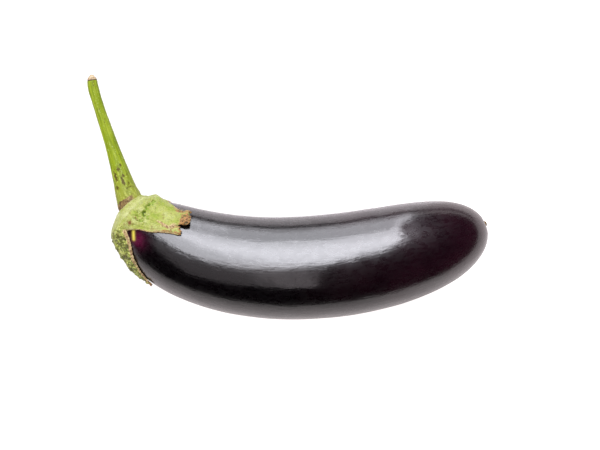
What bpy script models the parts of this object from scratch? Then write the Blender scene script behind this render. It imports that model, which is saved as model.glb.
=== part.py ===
"""Long purple eggplant lying on its side: fruit, calyx, stem and blossom scar.

Metres, +Z up. The origin is the middle of the small flat spot that the fruit rests on.
+X runs to the blossom end and +Y to the side that the stem bends to, and the fruit's
spine lies level above the ground.
"""

from math import acos, atan2, comb, cos, pi, radians, sin

import bmesh
import bpy
from mathutils import Vector

MM = 0.001
GAP = 0.3 * MM              # air left between two pieces that touch
SHARP_ANGLE = radians(40)   # an edge bent more than this is shaded sharp
ROUNDING = 1e-6             # error in the coordinates of a unit ball

# Fruit: a ball drawn out along a bent spine. Spine and girth are Bezier curves whose five
# control points run from the neck, under the calyx, to the blossom end.
SPINE_X = [-110.5 * MM, -93.5 * MM, -40.5 * MM, 28.5 * MM, 103.5 * MM]
SPINE_Y = [34.0 * MM, 5.5 * MM, -12.0 * MM, -7.5 * MM, 25.0 * MM]
GIRTH = [37.5 * MM, 23.5 * MM, 33.5 * MM, 25.0 * MM, 52.0 * MM]
SPINE_HEIGHT = 29.4 * MM    # less than the fruit's largest radius, so it has a flat spot
CUTTER_DEPTH = 20 * MM      # of the block that takes the flat spot off
FRUIT_SEGMENTS = 48
FRUIT_RINGS = 32

# Calyx: six sepals fused round the neck. Each row is the notch before the sepal (angle
# around, polar angle), the sepal's tip (the same two) and how slim the sepal is.
# Angles are in degrees: around from the top of the fruit towards its belly, and polar
# from the neck.
SEPALS = [
    (30, 31, 83, 57, 0.80),
    (130, 30, 152, 50, 0.80),
    (175, 29, 200, 52, 0.80),
    (225, 28, 248, 48, 0.80),
    (275, 30, 316, 61, 0.65),
    (350, 40, 341, 60, 1.30),
]
CALYX_LIFT = 0.4 * MM       # air under the calyx, along its whole underside
HUB_THICKNESS = 3.6 * MM    # where the stem grows out
SEPAL_THICKNESS = 2.4 * MM
HUB_POLAR = radians(13)     # the hub keeps its thickness to here
SEPAL_POLAR = radians(26)   # and has thinned to a sepal here
EDGE_BLUNTNESS = 8          # the higher, the later a sepal rounds off to its rim
CALYX_SEGMENTS = 72
CALYX_RINGS = 26

# Stem: its middle line from the neck to the cut end, with the radius at each point.
STEM_LINE = [(-110.5, 34.0), (-110.8, 39.0), (-114.3, 50.6), (-120.5, 70.4),
             (-127.6, 92.6), (-132.0, 108.0), (-132.6, 113.6)]
STEM_RISE = [0.0, 0.2, 0.8, 1.8, 3.0, 4.0, 4.3]
STEM_RADII = [8.6, 7.8, 6.0, 4.0, 3.2, 3.1, 1.3]
STEM_SPANS = 5              # pieces between two points of the line
STEM_ROUNDNESS = 4          # extra corners on each quarter of its section
WELD_DISTANCE = 0.01 * MM

# Blossom scar: the dry button that the flower leaves at the far end.
SCAR_RADIUS = 1.5 * MM
SCAR_HALF_HEIGHT = 0.6 * MM
SCAR_SEGMENTS = 16
SCAR_RINGS = 8


def clear_scene():
    for item in list(bpy.data.objects):
        bpy.data.objects.remove(item, do_unlink=True)


def collection(name):
    group = bpy.data.collections.new(name)
    bpy.context.scene.collection.children.link(group)
    return group


def material(name, colour, roughness):
    skin = bpy.data.materials.new(name)
    skin.use_nodes = True
    shader = skin.node_tree.nodes["Principled BSDF"]
    shader.inputs["Base Color"].default_value = (*colour, 1.0)
    shader.inputs["Roughness"].default_value = roughness
    shader.inputs["Metallic"].default_value = 0.0
    skin.diffuse_color = (*colour, 1.0)
    return skin


def new_object(name, bm, group, skin=None):
    """Turns a bmesh into a named, smooth-shaded object."""
    bm.normal_update()
    bmesh.ops.recalc_face_normals(bm, faces=bm.faces[:])
    mesh = bpy.data.meshes.new(name)
    bm.to_mesh(mesh)
    bm.free()
    mesh.shade_smooth()
    mesh.set_sharp_from_angle(angle=SHARP_ANGLE)
    if skin:
        mesh.materials.append(skin)
    item = bpy.data.objects.new(name, mesh)
    group.objects.link(item)
    return item


def cutter(item):
    item.hide_render = True
    item.display_type = "WIRE"
    return item


def subtract(item, tool):
    cut = item.modifiers.new("cut_" + tool.name, "BOOLEAN")
    cut.operation = "DIFFERENCE"
    cut.solver = "EXACT"
    cut.object = tool


def bezier(stations, t):
    """Value at t of the Bezier curve with these stations as control points."""
    last = len(stations) - 1
    return sum(
        comb(last, i) * t**i * (1 - t) ** (last - i) * value
        for i, value in enumerate(stations)
    )


def slope(stations, t):
    steps = [after - before for before, after in zip(stations, stations[1:])]
    return bezier(steps, t)


def skin_point(polar, around, lift=0.0):
    """Point of the fruit's form, lifted off its skin by lift."""
    t = (1 - cos(polar)) / 2
    along = Vector((slope(SPINE_X, t), slope(SPINE_Y, t), 0)).normalized()
    belly = Vector((along.y, -along.x, 0))
    radial = belly * sin(around) + Vector((0, 0, cos(around)))
    centre = Vector((bezier(SPINE_X, t), bezier(SPINE_Y, t), SPINE_HEIGHT))
    outward = radial * sin(polar) - along * cos(polar)
    return centre + radial * bezier(GIRTH, t) * sin(polar) + outward * lift


def polar_of(vert):
    """Polar angle of a unit-ball vertex, from the neck (-Z) end."""
    return acos(max(-1.0, min(1.0, -vert.co.z)))


def around_of(vert):
    return atan2(vert.co.y, vert.co.x)


def new_ball(segments, rings, radius=1.0):
    bm = bmesh.new()
    bmesh.ops.create_uvsphere(bm, u_segments=segments, v_segments=rings, radius=radius)
    return bm


def drawn_ball(lift=0.0):
    """The fruit's form as a mesh: a ball primitive drawn out along the spine."""
    bm = new_ball(FRUIT_SEGMENTS, FRUIT_RINGS)
    for vert in bm.verts:
        vert.co = skin_point(polar_of(vert), around_of(vert), lift)
    return bm


def make_fruit(group, cutters):
    skin = material("aubergine_skin", (0.012, 0.006, 0.012), 0.25)
    fruit = new_object("fruit", drawn_ball(), group, skin)
    bm = bmesh.new()
    bmesh.ops.create_cube(bm, size=1.0)
    length = SPINE_X[-1] - SPINE_X[0]
    for vert in bm.verts:
        x, y, z = vert.co
        vert.co = (x * length, y * length, (z - 0.5) * CUTTER_DEPTH)
    ground = cutter(new_object("flat_spot_cutter", bm, cutters))
    subtract(fruit, ground)
    return fruit


def sepal_edge(around):
    """Polar angle and turned angle of the calyx's rim, for an angle at the hub."""
    turn = around % (2 * pi)
    if turn < radians(SEPALS[0][0]):
        turn += 2 * pi
    following = SEPALS[1:] + [(SEPALS[0][0] + 360, SEPALS[0][1])]
    for sepal, after in zip(SEPALS, following):
        start, start_polar, tip, tip_polar = (radians(value) for value in sepal[:4])
        end, end_polar = radians(after[0]), radians(after[1])
        if turn <= end:
            break
    side = (turn - start) / (end - start) * 2 - 1
    notch, notch_polar = (start, start_polar) if side < 0 else (end, end_polar)
    reach = tip_polar + (notch_polar - tip_polar) * abs(side)
    turned = tip + (notch - tip) * abs(side) ** sepal[4]
    return reach, turned - turn


def calyx_thickness(polar):
    share = (polar - HUB_POLAR) / (SEPAL_POLAR - HUB_POLAR)
    share = max(0.0, min(1.0, share))
    share = share * share * (3 - 2 * share)
    return HUB_THICKNESS + (SEPAL_THICKNESS - HUB_THICKNESS) * share


def make_calyx(group):
    """A ball flattened onto the neck: its lower half is the underside, its rim the lobes."""
    bm = new_ball(CALYX_SEGMENTS, CALYX_RINGS)
    for vert in bm.verts:
        polar = polar_of(vert)
        around = around_of(vert)
        outer = vert.co.z <= ROUNDING
        share = min(polar, pi - polar) / (pi / 2)
        reach, turn = sepal_edge(around)
        place = reach * share
        lift = CALYX_LIFT
        if outer:
            lift += calyx_thickness(place) * (1 - share**EDGE_BLUNTNESS) ** 0.5
        vert.co = skin_point(place, around + turn * share**2, lift)
    skin = material("calyx_green", (0.42, 0.55, 0.14), 0.6)
    return new_object("calyx", bm, group, skin)


def stem_curve():
    """The stem as a bevelled curve with its own radius at every point."""
    curve = bpy.data.curves.new("stem_line", "CURVE")
    curve.dimensions = "3D"
    curve.bevel_depth = MM
    curve.bevel_resolution = STEM_ROUNDNESS
    curve.resolution_u = STEM_SPANS
    curve.use_fill_caps = True
    spline = curve.splines.new("BEZIER")
    spline.bezier_points.add(len(STEM_LINE) - 1)
    for point, (x, y), rise, radius in zip(
        spline.bezier_points, STEM_LINE, STEM_RISE, STEM_RADII
    ):
        point.co = (x * MM, y * MM, SPINE_HEIGHT + rise * MM)
        point.radius = radius
        point.handle_left_type = "AUTO"
        point.handle_right_type = "AUTO"
    return curve


def make_stem(group, cutters):
    guide = bpy.data.objects.new("stem_guide", stem_curve())
    group.objects.link(guide)
    bpy.context.view_layer.update()
    graph = bpy.context.evaluated_depsgraph_get()
    mesh = bpy.data.meshes.new_from_object(guide.evaluated_get(graph))
    bm = bmesh.new()
    bm.from_mesh(mesh)
    bpy.data.meshes.remove(mesh)
    bpy.data.objects.remove(guide, do_unlink=True)
    bmesh.ops.remove_doubles(bm, verts=bm.verts[:], dist=WELD_DISTANCE)
    skin = material("stem_green", (0.30, 0.43, 0.05), 0.5)
    stem = new_object("stem", bm, group, skin)
    hub_top = CALYX_LIFT + HUB_THICKNESS + GAP
    hub = cutter(new_object("hub_cutter", drawn_ball(hub_top), cutters))
    subtract(stem, hub)
    return stem


def make_scar(group):
    """A small squashed ball, standing a gap off the fruit's far pole."""
    bm = new_ball(SCAR_SEGMENTS, SCAR_RINGS, SCAR_RADIUS)
    squash = SCAR_HALF_HEIGHT / SCAR_RADIUS
    for vert in bm.verts:
        vert.co.z *= squash
    skin = material("dry_scar", (0.25, 0.15, 0.06), 0.8)
    scar = new_object("blossom_scar", bm, group, skin)
    along = Vector((slope(SPINE_X, 1), slope(SPINE_Y, 1), 0)).normalized()
    scar.rotation_euler = along.to_track_quat("Z", "Y").to_euler()
    scar.location = skin_point(pi, 0, GAP + SCAR_HALF_HEIGHT)
    return scar


def main():
    clear_scene()
    group = collection("eggplant")
    cutters = collection("cutters")
    make_fruit(group, cutters)
    make_calyx(group)
    make_stem(group, cutters)
    make_scar(group)


main()
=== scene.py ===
"""Studio scene of a long purple eggplant that lies on its side on a lit white table."""

from math import comb, radians

import bpy
import numpy as np
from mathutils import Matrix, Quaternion, Vector, kdtree, noise


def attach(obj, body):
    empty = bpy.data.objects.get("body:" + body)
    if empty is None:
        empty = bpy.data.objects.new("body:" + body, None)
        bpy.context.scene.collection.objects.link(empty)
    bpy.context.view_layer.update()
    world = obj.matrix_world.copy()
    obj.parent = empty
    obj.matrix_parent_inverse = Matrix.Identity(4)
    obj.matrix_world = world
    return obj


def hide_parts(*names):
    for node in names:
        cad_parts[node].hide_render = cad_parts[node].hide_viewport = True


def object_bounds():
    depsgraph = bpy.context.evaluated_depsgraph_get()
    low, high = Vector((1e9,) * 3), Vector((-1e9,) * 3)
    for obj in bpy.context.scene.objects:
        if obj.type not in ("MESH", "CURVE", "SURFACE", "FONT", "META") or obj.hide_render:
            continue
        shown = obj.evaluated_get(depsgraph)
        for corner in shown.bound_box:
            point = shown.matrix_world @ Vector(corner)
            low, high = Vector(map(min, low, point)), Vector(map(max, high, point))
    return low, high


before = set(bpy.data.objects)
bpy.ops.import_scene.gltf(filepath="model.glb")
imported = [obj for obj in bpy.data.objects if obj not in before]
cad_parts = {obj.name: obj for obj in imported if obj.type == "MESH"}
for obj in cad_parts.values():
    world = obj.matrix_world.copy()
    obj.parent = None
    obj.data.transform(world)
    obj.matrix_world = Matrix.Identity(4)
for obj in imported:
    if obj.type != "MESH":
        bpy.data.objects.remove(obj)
cad_low, cad_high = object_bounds()

MM = 0.001


# ----------------------------------------------------------------------------------
# Studio. A camera straight above a white table, a big softbox over the far side with its
# dimmer skirt and corner down to the table, and a weak panel overhead. A white card and a
# fill panel stand at the left, and a black flag lies on the table along the fruit's far
# side. The skin mirrors neither the fill panel nor the room beyond.
# ----------------------------------------------------------------------------------

CAMERA_HEIGHT = 1.0
CAMERA_SHIFT = Vector((7 * MM, -16.5 * MM, 0))   # the stem leaves more room on its side
LENS = 100.0

middle = (cad_low + cad_high) / 2
camera_data = bpy.data.cameras.new("camera")
camera_data.lens = LENS
camera = bpy.data.objects.new("camera", camera_data)
camera.location = middle + CAMERA_SHIFT + Vector((0, 0, CAMERA_HEIGHT))
bpy.context.scene.collection.objects.link(camera)
bpy.context.scene.camera = camera
bpy.context.scene.view_settings.view_transform = "Standard"


def colour(code):
    """sRGB hex to the linear colour that a node wants."""
    srgb = [int(code[i:i + 2], 16) / 255 for i in (1, 3, 5)]
    linear = [c / 12.92 if c <= 0.04045 else ((c + 0.055) / 1.055) ** 2.4 for c in srgb]
    return (*linear, 1.0)


def add_node(tree, kind, inputs=None, stops=None, **settings):
    """Adds a node. An input is a value, a hex colour or the output it is fed from.

    The stops of a colour ramp are its places and hex colours.
    """
    node = tree.nodes.new(kind)
    for name, value in settings.items():
        setattr(node, name, value)
    for socket, value in (inputs or {}).items():
        if isinstance(value, bpy.types.NodeSocket):
            tree.links.new(value, node.inputs[socket])
        else:
            known = colour(value) if isinstance(value, str) else value
            node.inputs[socket].default_value = known
    for place, (position, code) in enumerate(stops or []):
        ramp = node.color_ramp.elements
        stop = ramp[place] if place < len(ramp) else ramp.new(position)
        stop.position = position
        stop.color = colour(code)
    return node


def add_panel(name, centre, aim, width, height, brightness, tint, roll=0, fades=()):
    """Rectangular area light; brightness is its radiance, so a white mirror shows that.

    A fade runs across the panel, whose sides are 0 to 1 long, along the direction given
    by its first two numbers. It dims the light to its last number, a share, at its third
    number, and leaves it whole from its fourth.
    """
    panel = bpy.data.lights.new(name, "AREA")
    panel.shape = "RECTANGLE"
    panel.size = width
    panel.size_y = height
    panel.energy = brightness * np.pi * width * height
    panel.color = tint
    panel.use_nodes = True
    tree = panel.node_tree
    place = add_node(tree, "ShaderNodeNewGeometry").outputs["Parametric"]
    strength = tree.nodes["Emission"].inputs["Strength"]
    for across, up, dim, whole, share in fades:
        reach = add_node(tree, "ShaderNodeVectorMath", {
            0: place, 1: (across, up, 0)}, operation="DOT_PRODUCT")
        fade = add_node(tree, "ShaderNodeMapRange", {
            "Value": reach.outputs["Value"], "From Min": dim, "From Max": whole,
            "To Min": share})
        product = add_node(tree, "ShaderNodeMath", {
            0: fade.outputs["Result"], 1: 1.0}, operation="MULTIPLY")
        tree.links.new(product.outputs[0], strength)
        strength = product.inputs[1]
    lamp = bpy.data.objects.new(name, panel)
    lamp.location = centre
    facing = (Vector(aim) - Vector(centre)).to_track_quat("-Z", "Y")
    lamp.rotation_euler = (facing @ Quaternion((0, 0, 1), radians(roll))).to_euler()
    lamp.visible_camera = False
    bpy.context.scene.collection.objects.link(lamp)
    return lamp


# Each panel's place, what it faces, its width and height in metres, and its brightness.
DAYLIGHT = (0.93, 0.93, 1.0)
WARM = (1.0, 0.90, 0.95)
add_panel("softbox", (-0.155, 0.413, 0.988), (-0.155, -0.167, 0.168), 0.77, 1.37, 9.6,
          DAYLIGHT, roll=13,
          fades=((0, 1, 0, 0.32, 0.65), (0, 1, 0.98, 0.70, 0.15),
                 (-0.78, 1, 0.54, 0.38, 0), (1, 0, 0.57, 0.40, 0.6)))
add_panel("softbox_skirt", (-0.31, 1.02, 0.30), (-0.31, 0, 0.14), 0.64, 0.58, 3.6, DAYLIGHT)
add_panel("softbox_corner", (0.04, 1.02, 0.30), (0.04, 0, 0.14), 0.06, 0.58, 6.0, DAYLIGHT)
add_panel("overhead_panel", (-0.385, -0.47, 1.15), (-0.385, -0.47, 0), 0.9, 1.27, 1.1, WARM,
          roll=4, fades=((1, 0, 0.68, 0.80, 0.4), (1, 0, 1.0, 0.89, 0)))
add_panel("white_card", (-0.72, -0.22, 0.09), (-0.1, 0, 0.03), 0.36, 0.18, 1.9, WARM,
          fades=((1, 0, 0, 0.5, 0), (1, 0, 1, 0.5, 0), (0, 1, 0, 0.5, 0), (0, 1, 1, 0.5, 0)))
fill = add_panel("fill_panel", (-0.7, -0.3, 0.6), (-0.1, 0, 0.03), 0.6, 0.6, 2.4, WARM)
fill.visible_glossy = False

world = bpy.data.worlds.new("studio_room")
world.use_nodes = True
world.node_tree.nodes["Background"].inputs["Color"].default_value = (0.94, 0.92, 0.92, 1)
world.node_tree.nodes["Background"].inputs["Strength"].default_value = 0.4
world.cycles_visibility.glossy = False
bpy.context.scene.world = world


def new_material(name):
    """A new material, with its node tree and its Principled shader."""
    made = bpy.data.materials.new(name)
    made.use_nodes = True
    tree = made.node_tree
    return made, tree, tree.nodes["Principled BSDF"]


def add_sheet(name, finish, size, centre):
    """A flat level sheet that belongs to the studio."""
    bpy.ops.object.select_all(action="DESELECT")
    bpy.ops.mesh.primitive_plane_add(size=1, location=centre)
    sheet = bpy.context.object
    sheet.name = name
    sheet.scale = (*size, 1)
    bpy.ops.object.transform_apply(location=False, rotation=False, scale=True)
    sheet.data.materials.append(finish)
    return sheet


# Opal acrylic, the usual top of a product table: white, smooth and a little glossy. It is
# lit from below for the camera, and the skin mirrors it nearly unlit, as a second sheet.
# The glow grows by GLOW_RIGHT and GLOW_FRONT to those sides, where the lights fall off.
TABLE_SIZE = (12, 12)
GLOW_RIGHT = 0.55
GLOW_FRONT = 0.35
for name, glow, tint in (("table", 0.75, "#949494"), ("table_mirrored", 0.10, "#958C8C")):
    opal, tree, shader = new_material("opal_acrylic_" + name)
    shader.inputs["Base Color"].default_value = colour(tint)
    shader.inputs["Roughness"].default_value = 0.14
    shader.inputs["Emission Color"].default_value = colour("#FFFBFA")
    spot = add_node(tree, "ShaderNodeTexCoord").outputs["Object"]
    across = add_node(tree, "ShaderNodeSeparateXYZ", {"Vector": spot})
    right = add_node(tree, "ShaderNodeMapRange", {
        "Value": across.outputs["X"], "From Min": 20 * MM, "From Max": 140 * MM,
        "To Max": GLOW_RIGHT})
    front = add_node(tree, "ShaderNodeMapRange", {
        "Value": across.outputs["Y"], "From Min": 0.0, "From Max": -50 * MM,
        "To Max": GLOW_FRONT})
    lit = add_node(tree, "ShaderNodeMath", {
        0: right.outputs["Result"], 1: front.outputs["Result"]}, operation="MAXIMUM")
    glowing = add_node(tree, "ShaderNodeMath", {0: lit.outputs[0], 1: glow}, operation="ADD")
    tree.links.new(glowing.outputs[0], shader.inputs["Emission Strength"])
    seen = name == "table"
    top = add_sheet(name, opal, TABLE_SIZE, (0, 0, 0 if seen else 0.1 * MM))
    top.visible_glossy = not seen
    top.visible_camera = top.visible_shadow = top.visible_diffuse = seen

# Matt black paper, seen only in reflections: it draws the dark line along the fruit.
flag_paper, tree, shader = new_material("matt_black_paper")
shader.inputs["Base Color"].default_value = colour("#101010")
shader.inputs["Roughness"].default_value = 0.9
flag = add_sheet("flag", flag_paper, (0.7, 0.10), (-0.02, 0.19, 2 * MM))
flag.visible_camera = flag.visible_diffuse = flag.visible_shadow = False


# ----------------------------------------------------------------------------------
# The fruit. One fleshy body in a thin waxed skin, grown as a ball that is drawn out
# along a bent spine. It lies on its side and is a little flattened where it rests.
# ----------------------------------------------------------------------------------

SPINE_X = np.array([-110.5, -93.5, -40.5, 28.5, 103.5]) * MM
SPINE_Y = np.array([34.0, 5.5, -12.0, -7.5, 25.0]) * MM
GIRTH = np.array([37.5, 23.5, 33.5, 25.0, 52.0]) * MM
SPINE_HEIGHT = 29.4 * MM
SETTLE = 0.5 * MM            # how softly the flat spot runs out


def bezier(stations, t):
    """Values at t of the Bezier curve with these stations as control points."""
    last = len(stations) - 1
    return sum(
        comb(last, i) * t**i * (1 - t) ** (last - i) * value
        for i, value in enumerate(stations)
    )


def skin_points(polar, around):
    """Points on the skin: polar from the neck, around from the top towards the belly."""
    t = (1 - np.cos(polar)) / 2
    along_x = bezier(np.diff(SPINE_X), t)
    along_y = bezier(np.diff(SPINE_Y), t)
    length = np.hypot(along_x, along_y)
    ring = bezier(GIRTH, t) * np.sin(polar)
    belly = ring * np.sin(around)
    x = bezier(SPINE_X, t) + belly * along_y / length
    y = bezier(SPINE_Y, t) - belly * along_x / length
    z = SPINE_HEIGHT + ring * np.cos(around)
    return np.stack([x, y, z], axis=-1)


def skin_normals(polar, around):
    """Outward normals of the skin, from small steps along and around it."""
    step = 1e-4
    polar = np.clip(polar, 20 * step, np.pi - 20 * step)
    down = skin_points(polar + step, around) - skin_points(polar - step, around)
    side = skin_points(polar, around + step) - skin_points(polar, around - step)
    out = np.cross(side, down)
    return out / np.linalg.norm(out, axis=-1, keepdims=True)


def read_points(mesh):
    flat = np.empty(len(mesh.vertices) * 3, np.float32)
    mesh.vertices.foreach_get("co", flat)
    return flat.reshape(-1, 3).astype(float)


def move_points(mesh, points):
    mesh.vertices.foreach_set("co", points.astype(np.float32).ravel())
    mesh.update()


def new_ball(name, segments, rings):
    """A unit ball primitive; its points' polar angles, from its lower pole, and around."""
    bpy.ops.object.select_all(action="DESELECT")
    bpy.ops.mesh.primitive_uv_sphere_add(segments=segments, ring_count=rings, radius=1)
    ball = bpy.context.object
    ball.name = ball.data.name = name
    place = read_points(ball.data)
    polar = np.arccos(np.clip(-place[:, 2], -1, 1))
    return ball, polar, np.arctan2(place[:, 1], place[:, 0])


def paint(mesh, name, values):
    """Stores a value for every vertex, for a material to read."""
    kind = "FLOAT_VECTOR" if values.ndim == 2 else "FLOAT"
    layer = mesh.attributes.new(name, kind, "POINT")
    field = "vector" if values.ndim == 2 else "value"
    layer.data.foreach_set(field, values.astype(np.float32).ravel())


def swell(piece, name, grain, amount):
    """Displaces a piece by soft clouds of that grain, and applies it."""
    clouds = bpy.data.textures.new(name, "CLOUDS")
    clouds.noise_scale = grain
    clouds.noise_depth = 1
    bpy.context.view_layer.objects.active = piece
    displace = piece.modifiers.new(name, "DISPLACE")
    displace.texture = clouds
    displace.texture_coords = "LOCAL"
    displace.strength = amount
    bpy.ops.object.modifier_apply(modifier=name)


FRUIT_SEGMENTS = 224
FRUIT_RINGS = 300
DIMPLE_DEPTH = 0.9 * MM      # round the blossom scar
DIMPLE_WIDTH = 3.2 * MM
SLOW_SWELLS = (22 * MM, 0.35 * MM)   # grain and height
SMALL_SWELLS = (6 * MM, 0.05 * MM)

fruit, polar, around = new_ball("fruit_skin", FRUIT_SEGMENTS, FRUIT_RINGS)
points = skin_points(polar, around)
far_pole = skin_points(np.array([np.pi]), np.array([0.0]))[0]
far_along = np.array([SPINE_X[-1] - SPINE_X[-2], SPINE_Y[-1] - SPINE_Y[-2], 0])
far_along /= np.linalg.norm(far_along)
from_pole = np.linalg.norm(points - far_pole, axis=1)
points -= np.outer(DIMPLE_DEPTH * np.exp(-((from_pole / DIMPLE_WIDTH) ** 2)), far_along)
move_points(fruit.data, points)
swell(fruit, "slow_swells", *SLOW_SWELLS)
swell(fruit, "small_swells", *SMALL_SWELLS)
points = read_points(fruit.data)
points[:, 2] = SETTLE * np.logaddexp(0, points[:, 2] / SETTLE)
move_points(fruit.data, points)
bpy.ops.object.shade_smooth()

# Where each point lies along and across the fruit, as if it were an even rod.
MIDDLE_RADIUS = 30 * MM
SPINE_LENGTH = 245 * MM
paint(fruit.data, "grain", np.stack([
    SPINE_LENGTH * polar / np.pi,
    MIDDLE_RADIUS * np.cos(around),
    MIDDLE_RADIUS * np.sin(around),
], axis=-1))

# Where the calyx kept the sun off, at the notches between its sepals, by polar and around
# angle in degrees: the skin there is bare of purple, and blushes into it past that. In
# the first notch the bare skin is a strip between two places.
NOTCHES = np.array([(31.5, 24), (30, 130), (29, 175), (28, 225), (29, 268), (29, 353)])
BLUSH_SHIFT = (9, -5)        # from a notch to the middle of its blush
BLUSH_RADIUS = 11.0 * MM
BARE_SHIFT = (1.5, 0)
BARE_RADIUS = 1.6 * MM
STRIP = ((34.8, 14.5), (39.0, 24.1))
STRIP_SPOTS = 7
STRIP_RADIUS = 0.96 * MM


def nearness(points, places, radius):
    """How near each point is to any of these places on the skin, from 0 to 1."""
    nearest = np.zeros(len(points))
    for polar, around in places:
        centre = skin_points(np.radians([polar]), np.radians([around]))[0]
        distance = np.linalg.norm(points - centre, axis=1)
        nearest = np.maximum(nearest, np.exp(-((distance / radius) ** 2)))
    return nearest


paint(fruit.data, "blush", nearness(points, NOTCHES + BLUSH_SHIFT, BLUSH_RADIUS))
paint(fruit.data, "bare", np.maximum(
    nearness(points, np.linspace(*STRIP, STRIP_SPOTS), STRIP_RADIUS),
    nearness(points, NOTCHES[1:] + BARE_SHIFT, BARE_RADIUS)))
paint(fruit.data, "far_end", polar / np.pi)

# Eggplant skin: nearly black purple, redder to the far end, under a natural wax film. The
# film mirrors sharply over a duller skin; long fine strokes and scuffs break its edges up.
skin, tree, shader = new_material("waxed_eggplant_skin")
flow, blush, bare, far_end = (
    add_node(tree, "ShaderNodeAttribute", attribute_name=name)
    for name in ("grain", "blush", "bare", "far_end"))
place = add_node(tree, "ShaderNodeTexCoord").outputs["Object"]
shader.inputs["IOR"].default_value = 1.42
shader.inputs["Coat Weight"].default_value = 1.0
shader.inputs["Coat IOR"].default_value = 1.62
shader.inputs["Coat Roughness"].default_value = 0.1
mottle = add_node(tree, "ShaderNodeTexNoise", {
    "Vector": place, "Scale": 1 / (28 * MM), "Detail": 3.0})
body = add_node(tree, "ShaderNodeValToRGB", {"Fac": mottle.outputs["Fac"]}, stops=[
    (0.35, "#010001"), (0.72, "#050204")])
end_body = add_node(tree, "ShaderNodeValToRGB", {"Fac": mottle.outputs["Fac"]}, stops=[
    (0.35, "#16050D"), (0.72, "#280C18")])
end_share = add_node(tree, "ShaderNodeMapRange", {
    "Value": far_end.outputs["Fac"], "From Min": 0.55, "From Max": 0.82})
blush_noise = add_node(tree, "ShaderNodeTexNoise", {
    "Vector": place, "Scale": 1 / (4 * MM), "Detail": 3.0})
blush_edge = add_node(tree, "ShaderNodeMath", {
    0: blush_noise.outputs["Fac"], 1: 0.35, 2: blush.outputs["Fac"]}, operation="MULTIPLY_ADD")
blushing = add_node(tree, "ShaderNodeMapRange", {
    "Value": blush_edge.outputs[0], "From Min": 0.12, "From Max": 1.3})
blush_tone = add_node(tree, "ShaderNodeValToRGB", {"Fac": blushing.outputs["Result"]}, stops=[
    (0.0, "#020101"), (0.35, "#14030C"), (0.7, "#2C0418"), (1.0, "#580A30")])
skin_tone = body.outputs["Color"]
for mask, tone in (
    (end_share.outputs["Result"], end_body.outputs["Color"]),
    (blushing.outputs["Result"], blush_tone.outputs["Color"]),
    (bare.outputs["Fac"], "#CEC04C"),
):
    skin_tone = add_node(tree, "ShaderNodeMixRGB", {
        "Fac": mask, "Color1": skin_tone, "Color2": tone}).outputs["Color"]
tree.links.new(skin_tone, shader.inputs["Base Color"])

# Strokes along the fruit, from long and thin to short and wide, with their length, width
# and depth in millimetres. The last are scuffs, and dull the skin under the wax too.
STROKES = ((9, 0.7, 0.034), (5, 1.3, 0.060), (3, 2.2, 0.034))
bumps = None
for length, width, depth in STROKES:
    run = add_node(tree, "ShaderNodeMapping", {
        "Vector": flow.outputs["Vector"], "Scale": (width / length, 1, 1)})
    stroke = add_node(tree, "ShaderNodeTexNoise", {
        "Vector": run.outputs["Vector"], "Scale": 1 / (width * MM), "Detail": 2.0,
        "Distortion": 0.6})
    relief = add_node(tree, "ShaderNodeBump", {
        "Height": stroke.outputs["Fac"], "Strength": 1.0, "Distance": depth * MM})
    if bumps:
        tree.links.new(bumps, relief.inputs["Normal"])
    bumps = relief.outputs["Normal"]
dulled = add_node(tree, "ShaderNodeMapRange", {
    "Value": stroke.outputs["Fac"], "From Min": 0.35, "From Max": 0.65,
    "To Min": 0.24, "To Max": 0.36})
tree.links.new(dulled.outputs["Result"], shader.inputs["Roughness"])
tree.links.new(bumps, shader.inputs["Normal"])
tree.links.new(bumps, shader.inputs["Coat Normal"])
fruit.data.materials.append(skin)
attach(fruit, "root")
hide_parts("fruit")


# ----------------------------------------------------------------------------------
# The calyx. A fleshy green cup grown round the neck, split into six pointed sepals that
# press on the skin. It is dull and warty, with corky margins and tips that have dried
# brown and curled away from the fruit.
# ----------------------------------------------------------------------------------

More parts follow.
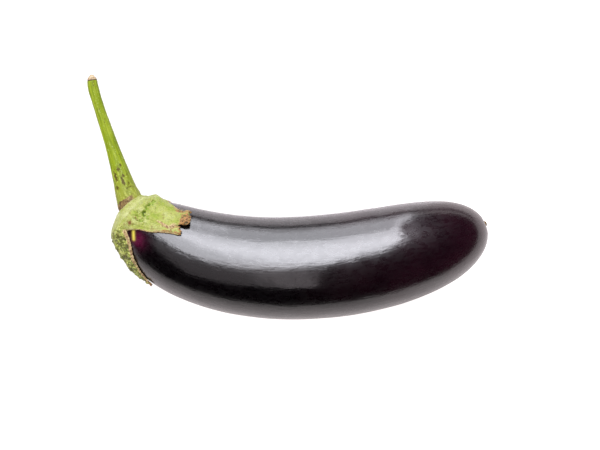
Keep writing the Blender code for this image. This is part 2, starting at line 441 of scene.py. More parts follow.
# Each sepal's margin from notch to notch, with the around and polar angles in degrees,
# the gap under it and the width of its dry edge in millimetres.
SEPALS = [
    [   # the warty one along the belly
        (26, 31.5, 0.3, 1.0), (29.5, 37.3, 0.4, 2.1), (36, 41, 0.4, 2.1), (47, 45, 0.4, 1.7),
        (63.5, 51.4, 0.4, 1.0), (71.5, 54.3, 0.5, 1.0), (80, 57.4, 0.8, 3.5), (92, 54, 0.5, 1.0),
        (105, 48, 0.5, 0.5), (120, 38, 0.4, 0.5), (130, 30, 0.3, 0.3)],
    [   # the three that the fruit lies against
        (130, 30, 0.3, 0.3), (138, 44, 0.4, 0.5), (152, 51.5, 0.6, 2.5), (163, 46, 0.4, 0.5),
        (175, 29, 0.3, 0.3)],
    [
        (175, 29, 0.3, 0.3), (185, 43, 0.3, 0.5), (200, 52, 0.3, 2.5), (214, 45, 0.3, 0.5),
        (225, 28, 0.3, 0.3)],
    [
        (225, 28, 0.3, 0.3), (234, 38, 0.3, 0.5), (245, 44.5, 0.5, 3.0), (257, 38, 0.3, 0.5),
        (268, 29, 0.3, 0.3)],
    [   # the broad one, with a dry tip that is folded up
        (268, 29, 0.4, 0.3), (281.5, 36.5, 0.7, 0.4), (292, 41.2, 0.8, 0.4),
        (297, 45.5, 0.9, 0.4), (304, 50, 1.0, 0.4), (310, 54, 1.2, 0.5),
        (308, 57, 2.2, 1.4), (306.5, 59.5, 3.2, 2.6), (312, 60.3, 3.0, 4.5), (319, 61.8, 2.8, 5.0),
        (327, 61.5, 2.8, 5.0), (329.5, 59.3, 2.4, 3.5), (331, 57.7, 2.0, 2.6),
        (334, 56, 1.8, 2.3), (338, 54.3, 1.7, 1.4), (340.5, 52.5, 1.6, 0.9),
        (340, 49.5, 1.5, 0.6), (339.5, 45, 1.4, 0.25), (343.5, 39, 1.2, 0.1),
        (346, 36, 1.0, 0.1), (353, 29, 0.5, 0.1)],
    [   # the narrow one in front
        (353, 29, 0.4, 0.1), (345.5, 36, 0.2, 0.1), (342.5, 40, 0.2, 0.1), (338.5, 45, 0.2, 0.2),
        (338.5, 50, 0.2, 0.4), (337, 53.5, 0.3, 1.0), (333.5, 56, 0.6, 2.6),
        (331.5, 58.2, 1.0, 3.0), (335.5, 58.6, 0.9, 3.0), (338, 60.2, 0.8, 3.0),
        (342, 59.8, 0.6, 2.6), (343, 57.5, 0.4, 1.0), (345, 54.2, 0.3, 0.6),
        (349, 50.8, 0.3, 0.5), (354.5, 47.2, 0.3, 0.6), (360.5, 43, 0.5, 0.6),
        (365, 39, 0.6, 0.5), (374, 35, 0.6, 0.4), (386, 31.5, 0.3, 0.6)],
]
MARGIN_STEP = 0.05           # how finely a margin is read between two of its points
BED = 0.15 * MM              # the gap under a sepal's middle
GAP_POWER = 6                # the higher, the nearer its margin it starts to lift
BLADE = 1.9 * MM             # its thickness there
EDGE = 1.0 * MM              # and at its margin
TAPER = 5.0 * MM             # over this far
EDGE_ROUND = 0.7 * MM        # and rounded off over this far
SWELL_EDGE = 3.0 * MM        # its swelling starts over this far from its margin
# How far the cup swells over its blades in millimetres, by polar angle in degrees, on the
# side that the stem bends to and on the belly's side.
SWELL_POLAR = (0, 8, 12, 15, 20, 27, 31, 36, 40)
SWELL_BEND = (0.3, 1.0, 3.7, 2.5, 1.4, 2.2, 1.6, 0.1, 0)
SWELL_BELLY = (0.3, 0.3, 0.0, -0.2, 0.0, 1.2, 0.8, 0.1, 0)


def through(stations, step):
    """A Catmull-Rom line through the stations, read at every step of a span."""
    stations = np.asarray(stations, float)
    ends = np.vstack([2 * stations[0] - stations[1], stations, 2 * stations[-1] - stations[-2]])
    t = np.arange(0, 1, step)[:, None]
    spans = []
    for before, start, stop, after in zip(ends, ends[1:], ends[2:], ends[3:]):
        spans.append(0.5 * (
            2 * start + (stop - before) * t
            + (2 * before - 5 * start + 4 * stop - after) * t**2
            + (3 * start - before - 3 * stop + after) * t**3
        ))
    return np.vstack([*spans, stations[-1:]])


def noise_at(points, grain, shift=0.0):
    """Soft noise from -1 to 1 at each point, with that grain in millimetres."""
    return np.array([noise.noise(Vector(p) / (grain * MM) + Vector((shift, shift, shift)))
                     for p in points])


def bent(points, grain, amount, shifts):
    """Points pushed about by noise, with its grain and amount in millimetres."""
    push = [noise_at(points, grain, shift) for shift in shifts]
    return points + amount * MM * np.stack(push, axis=-1)


def search_tree(places):
    finder = kdtree.KDTree(len(places))
    for i, place in enumerate(places):
        finder.insert(place, i)
    finder.balance()
    return finder


# The ball's poles go to the neck and its equator to the rim: the lower half is the outside
# and the upper half the underside, and both run from the neck to the sepals' margins.
CALYX_COLUMNS = 480
CALYX_RINGS = 150
CROWDING = 1.6               # the higher, the closer the rings lie at the rim
FRAY = 1.4 * MM              # grain of the frayed margins
FRAY_GREEN = 0.25            # how far they fray, in degrees, and how much more
FRAY_DRY = 0.45              # for each millimetre of dry edge
calyx, ball_polar, ball_around = new_ball("calyx_cup", CALYX_COLUMNS, CALYX_RINGS)
margins = [through(sepal, MARGIN_STEP) for sepal in SEPALS]
rim = np.vstack([margin[:-1] for margin in margins] + [margins[-1][-1:]])
rim_places = skin_points(np.radians(rim[:, 1]), np.radians(rim[:, 0]))
rim_length = np.concatenate([[0], np.cumsum(np.linalg.norm(np.diff(rim_places, axis=0), axis=1))])
notches = np.cumsum([0] + [len(margin) - 1 for margin in margins])
base_around = np.interp(rim_length, rim_length[notches], rim[notches, 0])

along_rim = (ball_around / (2 * np.pi)) % 1 * rim_length[-1]
rim_around, rim_polar, rim_gap, dry_width = (
    np.interp(along_rim, rim_length, rim[:, i]) for i in range(4))
base_around = np.interp(along_rim, rim_length, base_around)
fray = np.array([noise.noise(Vector((along, 0, 0)) / FRAY) for along in along_rim])
rim_polar = rim_polar + fray * (FRAY_GREEN + FRAY_DRY * dry_width)

outside = ball_polar < np.pi / 2
out = 1 - np.abs(1 - ball_polar / (np.pi / 2)) ** CROWDING      # 0 at the neck, 1 at the rim
polar = np.radians(rim_polar * out)
around = np.radians(base_around + (rim_around - base_around) * out**2)
skin_there = skin_points(polar, around)
normals = skin_normals(polar, around)

# How far each point is from its own sepal's margin.
reach = np.empty(len(ball_polar))
sepal_of = np.searchsorted(rim_length[notches], along_rim, side="right") - 1
for number, margin in enumerate(margins):
    finder = search_tree(skin_points(np.radians(margin[:, 1]), np.radians(margin[:, 0])))
    for i in np.flatnonzero(sepal_of == number):
        reach[i] = finder.find(skin_there[i])[2]
reach = np.where(out > 0.999, 0, reach)

gap = BED + (rim_gap * MM - BED) * out**GAP_POWER
thick = EDGE + (BLADE - EDGE) * np.clip(reach / TAPER, 0, 1)
thick *= np.sqrt(1 - (1 - np.clip(reach / EDGE_ROUND, 0, 1)) ** 2)
bend_side = (1 - np.sin(around)) / 2
swelling = (1 - bend_side) * np.interp(np.degrees(polar), SWELL_POLAR, SWELL_BELLY) \
    + bend_side * np.interp(np.degrees(polar), SWELL_POLAR, SWELL_BEND)
lift = np.where(outside, gap + thick + swelling * MM * np.clip(reach / SWELL_EDGE, 0, 1), gap)
move_points(calyx.data, skin_there + normals * lift[:, None])

FINE_SHEET = 0.33 * MM       # the grid that the cup is carved on
NEIGHBOURS = 4               # how many coarse points a fine one is read from
NEAREST = 0.05 * MM
coarse = read_points(calyx.data)
remesh = calyx.modifiers.new("fine_sheet", "REMESH")
remesh.mode = "VOXEL"
remesh.voxel_size = FINE_SHEET
bpy.context.view_layer.objects.active = calyx
bpy.ops.object.modifier_apply(modifier="fine_sheet")
relax = calyx.modifiers.new("relax", "SMOOTH")
relax.factor = 0.5
relax.iterations = 3
bpy.ops.object.modifier_apply(modifier="relax")

# What is known of the coarse sheet is carried over to the carved one.
known = np.stack([
    polar, np.cos(around), np.sin(around), reach / MM, dry_width, sepal_of], axis=-1)
finder = search_tree(coarse)
points = read_points(calyx.data)
carried = np.empty((len(points), known.shape[1]))
for i, place in enumerate(points):
    near = finder.find_n(place, NEIGHBOURS)
    weights = np.array([1 / (distance + NEAREST) for _, _, distance in near])
    carried[i] = weights @ known[[index for _, index, _ in near]] / weights.sum()
polar = carried[:, 0]
around = np.arctan2(carried[:, 2], carried[:, 1])
reach, dry_width, sepal_of = carried[:, 3] * MM, carried[:, 4], np.round(carried[:, 5])


def read_normals(mesh):
    flat = np.empty(len(mesh.vertices) * 3, np.float32)
    mesh.vertex_normals.foreach_get("vector", flat)
    return flat.reshape(-1, 3).astype(float)


def rise(value, start, stop):
    """Goes softly from 0 at start to 1 at stop."""
    t = np.clip((value - start) / (stop - start), 0, 1)
    return t * t * (3 - 2 * t)


def carve(mesh, points, height, facing):
    """Moves points out along the normals by height, as far as they face that way."""
    normals = read_normals(mesh)
    outer = np.clip(2 * np.einsum("ij,ij->i", normals, facing), 0, 1)
    points = points + normals * (height * outer)[:, None]
    move_points(mesh, points)
    return points


# The warts run from the belly sepal round to the underside. A tip is dry where its dry
# edge is wide, and crumbly where it is wider still.
facing = skin_normals(polar, around)
under = skin_points(polar, around)      # the place on the skin below each point
turn = np.degrees(around) % 360
warty = rise(turn, 20, 38) * (1 - rise(turn, 180, 215)) * rise(np.degrees(polar), 23, 30)
dryness = rise(1 - reach / MM / dry_width, 0, 1) * rise(dry_width, 2.2, 2.8)
crumbly = dryness * rise(dry_width, 2.5, 4)

# Marks on the cup, at places given by polar and around angle in degrees. A fold has its
# radius and depth in millimetres and then its line; the rest have a place, a radius in
# millimetres and a height or strength. DENTS are the pits of the warty sepal, BUMPS are
# swellings, PALE is where the green is lighter, DRY the dry tip, and SCARS brown spots.
FOLDS = (
    (0.85, 1.6, ((29.5, -3), (33.8, -5), (34.3, -12), (33, -19), (31.3, -29), (30.8, -37),
                 (31.3, -45), (30.5, -56))),
    (0.7, 1.0, ((34.3, -12), (36.5, -16), (40, -18.5))),
    (0.6, 0.7, ((33.8, -5), (31, -7), (28.2, -10))),
)
DENTS = (
    (27, 49, 1.0, 0.8), (29, 40, 0.9, 0.6), (27.5, 60, 1.0, 0.8),
    (32.5, 57, 0.9, 1.1), (35.5, 36, 0.8, 0.9), (37.5, 59, 0.9, 1.0), (38.5, 46, 0.7, 0.8),
    (40, 69, 0.9, 1.0), (42, 54, 0.7, 0.8), (43.5, 73.5, 0.8, 0.8), (33, 75, 0.9, 0.9),
    (48, 70, 0.7, 0.6),
)
BUMPS = (
    (28, -82, 2.6, 0.65), (27, 2, 2.0, 0.35), (31, 47, 1.2, 0.5), (35, 65, 1.3, 0.6),
    (46, 78, 2.2, 0.6), (38, -12, 1.4, 0.4), (31, -24, 1.2, 0.5), (36, -36, 1.6, 0.4),
)
PALE = ((20, 40, 10, 0.8), (22, 0, 8, 0.6), (14, 120, 9, 0.7))
DRY = ((59.5, -40, 3.6, 1.4), (60, -33, 3.0, 1.4))
SCARS = ((30.5, 9.5, 1.1, 1.3), (47, -29, 0.5, 0.7), (41, 60, 0.7, 0.8), (29, 60, 0.7, 0.8))
FOLD_STEP = 0.125            # how finely a fold's line is read between two of its places


def spots(places):
    """Sum of soft round spots on the cup, each as high as its last number."""
    total = np.zeros(len(under))
    for polar, around, radius, height in places:
        total += height * nearness(under, [(polar, around)], radius * MM)
    return total


def folds(lines, spread=1.0):
    """The deepest of these folds at each point, in millimetres, each spread that much."""
    wavering = bent(under, 1.6, 1.3, (41, 43, 47))
    return np.max([
        depth * nearness(wavering, through(line, FOLD_STEP), radius * spread * MM)
        for radius, depth, line in lines], axis=0)


# First the broad forms. The folds waver and break off, the sheet crumples round them, and
# thin wrinkles run out from there, where the noise passes through zero.
CRUMPLED = 4.5               # how many times its own radius a fold crumples the sheet
WRINKLE_SHARPNESS = 7
WRINKLE_DEPTH = 0.4          # this, the next two and the depths below are in millimetres
CRUMPLE_HEIGHT = 0.5
ROLL_HEIGHT = 0.30
broken = rise(noise_at(under, 2.2, 53) + 0.6 * noise_at(under, 1.0, 59), -0.45, 0.35)
furrow = folds(FOLDS) * (0.2 + broken)
crumpled = np.clip(folds(FOLDS, CRUMPLED), 0, 1)
wrinkles = np.clip(1 - WRINKLE_SHARPNESS * np.abs(noise_at(under, 3.0, 61)), 0, 1) \
    * (0.25 + crumpled) * rise(reach, 0.5 * MM, 2 * MM) * rise(np.degrees(polar), 20, 26)
points = carve(calyx.data, points, MM * (
    ROLL_HEIGHT * noise_at(points, 6) + spots(BUMPS) - spots(DENTS) - furrow
    - WRINKLE_DEPTH * wrinkles + CRUMPLE_HEIGHT * crumpled * noise_at(points, 2.0, 67)
), facing)

# Then the warts: cells of uneven height with clefts between them that fade in and out, a
# few ribs on the narrow sepal, and roughness that is higher on the warts and the dry tip.
WART = 2.5 * MM              # one wart to the next
CLEFT_WIDTH = 0.5            # in cells
CLEFT_DEPTH = 0.85
WART_HEIGHT = 0.9
WART_ROUGHNESS = 0.45
DRY_ROUGHNESS = 1.3
RIB_HEIGHT = 0.16
RIB_SPACING = 1.8
NARROW_SEPAL = 5             # its number in SEPALS
cells = [noise.voronoi(Vector(p) / WART) for p in bent(points, 2.6, 1.3, (11, 17, 23))]
border = np.array([far - near for (near, far, *_), _ in cells])
border = np.clip(border / CLEFT_WIDTH, 0, 1)
wart_size = np.array([noise.noise(seeds[0] * 7.3) for _, seeds in cells])
cleft = 0.35 + 0.65 * rise(noise_at(points, 4.5, 31), -0.35, 0.25)
ribs = np.where(sepal_of == NARROW_SEPAL, rise(reach, 0.6 * MM, 1.6 * MM), 0) \
    * rise(np.degrees(polar), 33, 38) * np.cos(2 * np.pi * (reach / MM - 0.6) / RIB_SPACING)
points = carve(calyx.data, points, MM * (
    (0.06 + CLEFT_DEPTH * warty) * cleft * (np.sqrt(border) - 0.7) + RIB_HEIGHT * ribs
    + WART_HEIGHT * warty * wart_size * np.sqrt(border)
    + 0.12 * noise_at(points, 1.1, 5) + DRY_ROUGHNESS * crumbly * noise_at(points, 2.2, 9)
    + WART_ROUGHNESS * warty * noise_at(points, 1.5, 7)
), facing)
points = carve(
    calyx.data, points, MM * (0.06 + 0.16 * warty) * noise_at(points, 0.8, 3), facing)
bpy.ops.object.shade_smooth()

pitted = np.clip(spots(DENTS), 0, 1)
paint(calyx.data, "dryness", np.maximum(dryness, np.clip(spots(DRY), 0, 1)))
# Creases and pits are darkened in the rind: painted shade.
paint(calyx.data, "creases", (1 - border) * (0.12 + 0.88 * warty) * cleft)
paint(calyx.data, "pits", np.maximum(pitted, warty * rise(-wart_size * border, 0.18, 0.45)))
# Folds and wrinkles are painted a deeper green in the rind, partly their own colour and partly
# painted shade.
paint(calyx.data, "furrow", 0.8 * furrow + 0.5 * wrinkles)
paint(calyx.data, "pale", spots(PALE))
paint(calyx.data, "lip", rise(0.3 + 0.8 * dry_width - reach / MM, 0, 0.4)
      * rise(dry_width, 0.15, 0.5) * (1 - rise(dry_width, 2.2, 2.6)))
paint(calyx.data, "scars", spots(SCARS))
paint(calyx.data, "warty", 0.8 * warty)

# Calyx rind: green and matt, mottled from yellow-green to grass green over a few
# millimetres, with corky specks; its margins and tips are dry. Its creases and pits are
# painted dark olive, which is painted shade. Its folds are a deeper green with a dark olive
# core, partly their own colour and partly painted shade.
rind, tree, shader = new_material("matt_calyx_rind")
place = add_node(tree, "ShaderNodeTexCoord").outputs["Object"]
dry_part, crease_part, pit_part, warty_part, lip_part, scar_part, furrow_part, pale_part = (
    add_node(tree, "ShaderNodeAttribute", attribute_name=name).outputs["Fac"]
    for name in ("dryness", "creases", "pits", "warty", "lip", "scars", "furrow", "pale"))
blotches = add_node(tree, "ShaderNodeTexNoise", {
    "Vector": place, "Scale": 1 / (7 * MM), "Detail": 4.0, "Roughness": 0.6})
greenish = add_node(tree, "ShaderNodeMath", {
    0: pale_part, 1: -0.14, 2: blotches.outputs["Fac"]}, operation="MULTIPLY_ADD")
wart_noise = add_node(tree, "ShaderNodeTexNoise", {
    "Vector": place, "Scale": 1 / (1.5 * MM), "Detail": 4.0, "Roughness": 0.72,
    "Distortion": 0.4})
wart_mix = add_node(tree, "ShaderNodeMath", {
    0: blotches.outputs["Fac"], 1: 0.5, 2: wart_noise.outputs["Fac"]}, operation="MULTIPLY_ADD")
wart_tone = add_node(tree, "ShaderNodeValToRGB", {"Fac": wart_mix.outputs[0]}, stops=[
    (0.63, "#2A260A"), (0.70, "#606818"), (0.76, "#929C3C"), (0.86, "#CACE80")])
green = add_node(tree, "ShaderNodeValToRGB", {"Fac": greenish.outputs[0]}, stops=[
    (0.24, "#B2B67E"), (0.38, "#A0A564"), (0.5, "#959B4C"), (0.62, "#859230"),
    (0.76, "#728A1A")])
grit = add_node(tree, "ShaderNodeTexNoise", {
    "Vector": place, "Scale": 1 / (0.9 * MM), "Detail": 3.0, "Roughness": 0.7})
grit_tone = add_node(tree, "ShaderNodeValToRGB", {"Fac": grit.outputs["Fac"]}, stops=[
    (0.30, "#BEBE98"), (0.5, "#FFFFFF"), (0.68, "#FFFFE8")])
rind_tone = add_node(tree, "ShaderNodeMixRGB", {
    "Fac": 1.0, "Color1": green.outputs["Color"], "Color2": grit_tone.outputs["Color"]},
    blend_type="MULTIPLY").outputs["Color"]
speck_noise = add_node(tree, "ShaderNodeTexNoise", {
    "Vector": place, "Scale": 1 / (1.6 * MM), "Detail": 2.0, "Roughness": 0.5})
specks = add_node(tree, "ShaderNodeMapRange", {
    "Value": speck_noise.outputs["Fac"], "From Min": 0.62, "From Max": 0.72, "To Max": 0.85})
# Painted shade: the creases, where the grit is strong, and the pits are darkened to dark olive.
crease_shade_noise = add_node(tree, "ShaderNodeMath", {
    0: crease_part, 1: grit.outputs["Fac"]}, operation="MULTIPLY")
crease_shade = add_node(tree, "ShaderNodeMapRange", {
    "Value": crease_shade_noise.outputs[0], "From Min": 0.20, "From Max": 0.46})
shaded_hollows = add_node(tree, "ShaderNodeMath", {
    0: crease_shade.outputs["Result"], 1: pit_part}, operation="MAXIMUM")
# Painted shade, in part: folds and wrinkles get a deeper saturated green, partly their own colour,
# and their cores dark olive.
fold_core_shade = add_node(tree, "ShaderNodeMapRange", {
    "Value": furrow_part, "From Min": 0.75, "From Max": 1.5})
dry_edge = add_node(tree, "ShaderNodeMath", {
    0: speck_noise.outputs["Fac"], 1: dry_part}, operation="MULTIPLY")
dry_mask = add_node(tree, "ShaderNodeMapRange", {
    "Value": dry_edge.outputs[0], "From Min": 0.26, "From Max": 0.38})
dry_tone = add_node(tree, "ShaderNodeValToRGB", {"Fac": speck_noise.outputs["Fac"]}, stops=[
    (0.36, "#2A190A"), (0.45, "#6A4A22"), (0.55, "#A67E4A"), (0.66, "#6A4822")])
lip_tone = add_node(tree, "ShaderNodeValToRGB", {"Fac": grit.outputs["Fac"]}, stops=[
    (0.36, "#5E3E28"), (0.46, "#9A7E56"), (0.62, "#B8AA7C")])
for mask, tone in (
    (warty_part, wart_tone.outputs["Color"]), (furrow_part, "#78921C"),
    (fold_core_shade.outputs["Result"], "#4A5410"), (shaded_hollows.outputs[0], "#45450F"),
    (specks.outputs["Result"], "#746428"), (scar_part, "#6A4418"),
    (lip_part, lip_tone.outputs["Color"]),
    (dry_mask.outputs["Result"], dry_tone.outputs["Color"]),
):
    rind_tone = add_node(tree, "ShaderNodeMixRGB", {
        "Fac": mask, "Color1": rind_tone, "Color2": tone}).outputs["Color"]
tree.links.new(rind_tone, shader.inputs["Base Color"])
shader.inputs["Roughness"].default_value = 0.6
shader.inputs["IOR"].default_value = 1.42
shader.inputs["Sheen Weight"].default_value = 0.15
shader.inputs["Sheen Roughness"].default_value = 0.35
shader.inputs["Subsurface Weight"].default_value = 0.12
shader.inputs["Subsurface Radius"].default_value = (0.6, 1.0, 0.2)
shader.inputs["Subsurface Scale"].default_value = 0.8 * MM
pores = add_node(tree, "ShaderNodeTexNoise", {
    "Vector": place, "Scale": 1 / (0.6 * MM), "Detail": 3.0, "Roughness": 0.65})
relief = add_node(tree, "ShaderNodeBump", {
    "Height": pores.outputs["Fac"], "Strength": 1.0, "Distance": 0.3 * MM})
tree.links.new(relief.outputs["Normal"], shader.inputs["Normal"])
calyx.data.materials.append(rind)
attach(calyx, "root")
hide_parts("calyx")


# ----------------------------------------------------------------------------------
# The stem. A tough green stalk, cut from the plant at its thin end and flared where it
# grows into the calyx, with faint ribs along it and a corky band round its foot.
# ----------------------------------------------------------------------------------

# Its line in the plane of the table, how far it rises above the fruit's spine, its radius
# and the slant of its sections, from the foot to the cut.
STEM_X = np.array([-109.2, -110.7, -112.2, -114.3, -120.5, -127.7, -131.3, -132.2]) * MM
STEM_Y = np.array([35.9, 39.0, 43.4, 50.6, 70.4, 92.6, 105.0, 110.2]) * MM
STEM_RISE = np.array([0, 0, 0, 0.2, 0.8, 3.0, 3.9, 4.2]) * MM
STEM_RADIUS = np.array([8.5, 8.2, 7.0, 5.9, 4.0, 3.1, 3.15, 3.0]) * MM
STEM_SLANT = np.radians([40, 37, 27, 19, 17.5, 17, 13, 7])
CUT_RADIUS = np.array([2.75, 2.95, 2.5, 1.5, 0.5, 0]) * MM      # the dried cone past the cut
CUT_HEIGHT = np.array([0.25, 0.6, 1.6, 3.0, 3.8, 3.9]) * MM

stem_line = through(np.stack(
    [STEM_X, STEM_Y, SPINE_HEIGHT + STEM_RISE, STEM_RADIUS, STEM_SLANT], axis=-1), 0.05)
stem_length = np.concatenate(
    [[0], np.cumsum(np.linalg.norm(np.diff(stem_line[:, :3], axis=0), axis=1))])
profile_along = np.concatenate([[0], stem_length, stem_length[-1] + CUT_HEIGHT])
profile_radius = np.concatenate([[0], stem_line[:, 3], CUT_RADIUS])
profile_length = np.concatenate(
    [[0], np.cumsum(np.hypot(np.diff(profile_along), np.diff(profile_radius)))])

# The ball is drawn out along the line, with one pole at the foot and one at the cone's tip.
STEM_SEGMENTS = 120
STEM_RINGS = 400
END_ALONG = np.array([-0.17, 0.985])     # the way that the cone past the cut points
stem, ball_polar, around = new_ball("stem_stalk", STEM_SEGMENTS, STEM_RINGS)
place = ball_polar / np.pi * profile_length[-1]
along = np.interp(place, profile_length, profile_along)
radius = np.interp(place, profile_length, profile_radius)
centre = np.stack([np.interp(along, stem_length, stem_line[:, i]) for i in range(3)], axis=-1)
slant = np.interp(along, stem_length, stem_line[:, 4])
beyond = np.maximum(along - stem_length[-1], 0)
centre[:, :2] += beyond[:, None] * END_ALONG
across = np.stack([np.cos(slant), np.sin(slant), 0 * slant], axis=-1)
up = np.array([0, 0, 1.0])
# Seven ribs that waver along the stalk, and thirteen finer ones; both end at the cut.
ribbed = rise(along, 6 * MM, 20 * MM) * (1 - rise(beyond, 0, 0.2 * MM))
ribs = 0.10 * MM * np.cos(7 * around + 1.2 * np.sin(along / (18 * MM))) \
    + 0.06 * MM * np.cos(13 * around + 2)
radius = radius + ribs * ribbed
points = centre + across * (radius * np.sin(around))[:, None] \
    + up * (radius * np.cos(around))[:, None]
move_points(stem.data, points)
stem_out = across * np.sin(around)[:, None] + up * np.cos(around)[:, None]
foot = 1 - rise(along, 4 * MM, 22 * MM)
points = carve(stem.data, points, MM * (
    (0.12 + 0.25 * foot) * noise_at(points, 4, 2)
    + (0.03 + 0.08 * foot) * noise_at(points, 0.9, 4)
    + 0.3 * rise(beyond, 0, 1 * MM) * noise_at(points, 1.1, 6)), stem_out)
bpy.ops.object.shade_smooth()
paint(stem.data, "grain", np.stack([
    along, radius * np.cos(around), radius * np.sin(around)], axis=-1))
paint(stem.data, "along_mm", along / MM)
paint(stem.data, "beyond_mm", beyond / MM)
paint(stem.data, "upper_side", np.clip(np.cos(around + 0.5), 0, 1))

# Rub marks on the upper side: place along and across it, length and width, in millimetres.
RUB_MARKS = (
    (19, -3.0, 4.0, 0.9), (22.5, -0.2, 1.8, 1.2), (15, 0.6, 3.6, 1.0), (18.5, 1.6, 1.6, 0.8),
    (10.2, 2.8, 0.8, 2.0), (12, -3.8, 2.0, 0.7), (25, 1.8, 1.4, 0.6), (13, 3.6, 1.2, 0.6),
)
rubs = np.zeros(len(points))
for mark_along, mark_across, long, wide in RUB_MARKS:
    apart = np.hypot((along / MM - mark_along) / long,
                     (radius * np.sin(around) / MM - mark_across) / wide)
    rubs = np.maximum(rubs, np.exp(-apart**2) * (np.cos(around) > 0))
paint(stem.data, "rubs", rubs)

# Stalk rind: smooth, firm and slightly waxy, yellow-green with paler fibres along it, fine
# light dots, and brown cork where it was rubbed; the cut end has dried to straw.
stalk, tree, shader = new_material("fibrous_stalk_rind")
grain = add_node(tree, "ShaderNodeAttribute", attribute_name="grain").outputs["Vector"]
along_mm, beyond_mm, upper_side, rub_part = (
    add_node(tree, "ShaderNodeAttribute", attribute_name=name).outputs["Fac"]
    for name in ("along_mm", "beyond_mm", "upper_side", "rubs"))
fibres_along = add_node(tree, "ShaderNodeMapping", {"Vector": grain, "Scale": (0.06, 1, 1)})
fibres = add_node(tree, "ShaderNodeTexNoise", {
    "Vector": fibres_along.outputs["Vector"], "Scale": 1 / (0.9 * MM), "Detail": 3.0})
stalk_green = add_node(tree, "ShaderNodeValToRGB", {"Fac": fibres.outputs["Fac"]}, stops=[
    (0.34, "#66780C"), (0.5, "#78890F"), (0.66, "#8D9A28")])
base_tone = add_node(tree, "ShaderNodeMapRange", {
    "Value": along_mm, "From Min": 4.0, "From Max": 26.0, "To Min": 1.0, "To Max": 0.0})
foot_green = add_node(tree, "ShaderNodeValToRGB", {"Fac": fibres.outputs["Fac"]}, stops=[
    (0.34, "#6E761E"), (0.66, "#959A44")])
dots_noise = add_node(tree, "ShaderNodeTexNoise", {
    "Vector": grain, "Scale": 1 / (0.9 * MM), "Detail": 1.0})
dots = add_node(tree, "ShaderNodeMapRange", {
    "Value": dots_noise.outputs["Fac"], "From Min": 0.62, "From Max": 0.72, "To Max": 0.6})
rub_noise = add_node(tree, "ShaderNodeTexNoise", {
    "Vector": grain, "Scale": 1 / (1.7 * MM), "Detail": 3.0, "Roughness": 0.6})
rubbed = add_node(tree, "ShaderNodeMath", {
    0: rub_noise.outputs["Fac"], 1: 3.0, 2: rub_part}, operation="MULTIPLY_ADD")
rub_mask = add_node(tree, "ShaderNodeMapRange", {
    "Value": rubbed.outputs[0], "From Min": 1.85, "From Max": 2.25, "To Max": 0.9})
cork_edge = add_node(tree, "ShaderNodeMath", {
    0: rub_noise.outputs["Fac"], 1: 3.0, 2: along_mm}, operation="MULTIPLY_ADD")
cork_band = add_node(tree, "ShaderNodeMapRange", {
    "Value": cork_edge.outputs[0], "From Min": 6.8, "From Max": 6.2})
cork_side = add_node(tree, "ShaderNodeMath", {
    0: cork_band.outputs["Result"], 1: upper_side}, operation="MULTIPLY")
cork_mask = add_node(tree, "ShaderNodeMapRange", {
    "Value": cork_side.outputs[0], "From Min": 0.45, "From Max": 0.65})
cork_tone = add_node(tree, "ShaderNodeValToRGB", {"Fac": rub_noise.outputs["Fac"]}, stops=[
    (0.36, "#4E3A20"), (0.5, "#735E39"), (0.64, "#8F7A4C")])
ring_place = add_node(tree, "ShaderNodeMath", {0: beyond_mm, 1: 0.2}, operation="MULTIPLY")
ring_mask = add_node(tree, "ShaderNodeValToRGB", {"Fac": ring_place.outputs[0]}, stops=[
    (0.0, "#000000"), (0.03, "#FFFFFF"), (0.10, "#FFFFFF"), (0.16, "#000000")])
straw_mask = add_node(tree, "ShaderNodeMapRange", {
    "Value": beyond_mm, "From Min": 0.2, "From Max": 0.6})
straw = add_node(tree, "ShaderNodeValToRGB", {"Fac": rub_noise.outputs["Fac"]}, stops=[
    (0.36, "#7A5A44"), (0.5, "#A79274"), (0.64, "#BDAE90")])
stalk_tone = stalk_green.outputs["Color"]
for mask, tone in (
    (base_tone.outputs["Result"], foot_green.outputs["Color"]),
    (dots.outputs["Result"], "#A3B262"), (rub_mask.outputs["Result"], "#4A3C0C"),
    (cork_mask.outputs["Result"], cork_tone.outputs["Color"]),
    (straw_mask.outputs["Result"], straw.outputs["Color"]),
    (ring_mask.outputs["Color"], "#3E2A16"),
):
    stalk_tone = add_node(tree, "ShaderNodeMixRGB", {
        "Fac": mask, "Color1": stalk_tone, "Color2": tone}).outputs["Color"]
tree.links.new(stalk_tone, shader.inputs["Base Color"])
shader.inputs["Roughness"].default_value = 0.5
shader.inputs["IOR"].default_value = 1.3
shader.inputs["Subsurface Weight"].default_value = 0.1
shader.inputs["Subsurface Radius"].default_value = (0.6, 1.0, 0.2)
shader.inputs["Subsurface Scale"].default_value = 0.8 * MM
relief = add_node(tree, "ShaderNodeBump", {
    "Height": fibres.outputs["Fac"], "Strength": 0.4, "Distance": 0.3 * MM})
tree.links.new(relief.outputs["Normal"], shader.inputs["Normal"])
stem.data.materials.append(stalk)
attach(stem, "root")
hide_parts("stem")


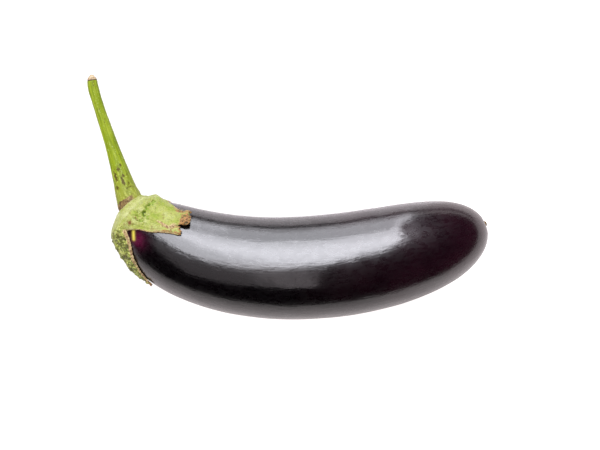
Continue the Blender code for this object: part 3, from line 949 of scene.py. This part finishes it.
# ----------------------------------------------------------------------------------
# The blossom scar. The dry brown button that the flower left, seated in the dimple at the
# far end of the fruit, with a crumbly top.
# ----------------------------------------------------------------------------------

SCAR_RADIUS = 1.6 * MM
SCAR_HEIGHT = 0.9 * MM       # half its own height
SCAR_SEAT = -0.25 * MM       # its middle, past the fruit's far pole
SCAR_SEGMENTS = 64
SCAR_RINGS = 48
CRUMB = 0.8                  # grain and height of its crumbs, in millimetres
CRUMB_HEIGHT = 0.45

scar, ball_polar, around = new_ball("blossom_scar_button", SCAR_SEGMENTS, SCAR_RINGS)
side = np.array([far_along[1], -far_along[0], 0])
points = far_pole + far_along * SCAR_SEAT \
    - np.outer(SCAR_HEIGHT * np.cos(ball_polar), far_along) \
    + np.outer(SCAR_RADIUS * np.sin(ball_polar) * np.cos(around), side) \
    + np.outer(SCAR_RADIUS * np.sin(ball_polar) * np.sin(around), [0, 0, 1])
move_points(scar.data, points)
points = carve(
    scar.data, points, CRUMB_HEIGHT * MM * noise_at(points, CRUMB, 8),
    np.tile(far_along, (len(points), 1)))
bpy.ops.object.shade_smooth()

# Dry scar tissue: dull, from dark to yellowish brown over half a millimetre.
tissue, tree, shader = new_material("dry_scar_tissue")
place = add_node(tree, "ShaderNodeTexCoord").outputs["Object"]
crumbs = add_node(tree, "ShaderNodeTexNoise", {
    "Vector": place, "Scale": 1 / (0.6 * MM), "Detail": 3.0, "Roughness": 0.6})
tissue_tone = add_node(tree, "ShaderNodeValToRGB", {"Fac": crumbs.outputs["Fac"]}, stops=[
    (0.36, "#2E1C0C"), (0.5, "#6E5020"), (0.64, "#97782E")])
tree.links.new(tissue_tone.outputs["Color"], shader.inputs["Base Color"])
shader.inputs["Roughness"].default_value = 0.85
relief = add_node(tree, "ShaderNodeBump", {
    "Height": crumbs.outputs["Fac"], "Strength": 0.8, "Distance": 0.2 * MM})
tree.links.new(relief.outputs["Normal"], shader.inputs["Normal"])
scar.data.materials.append(tissue)
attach(scar, "root")
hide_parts("blossom_scar")
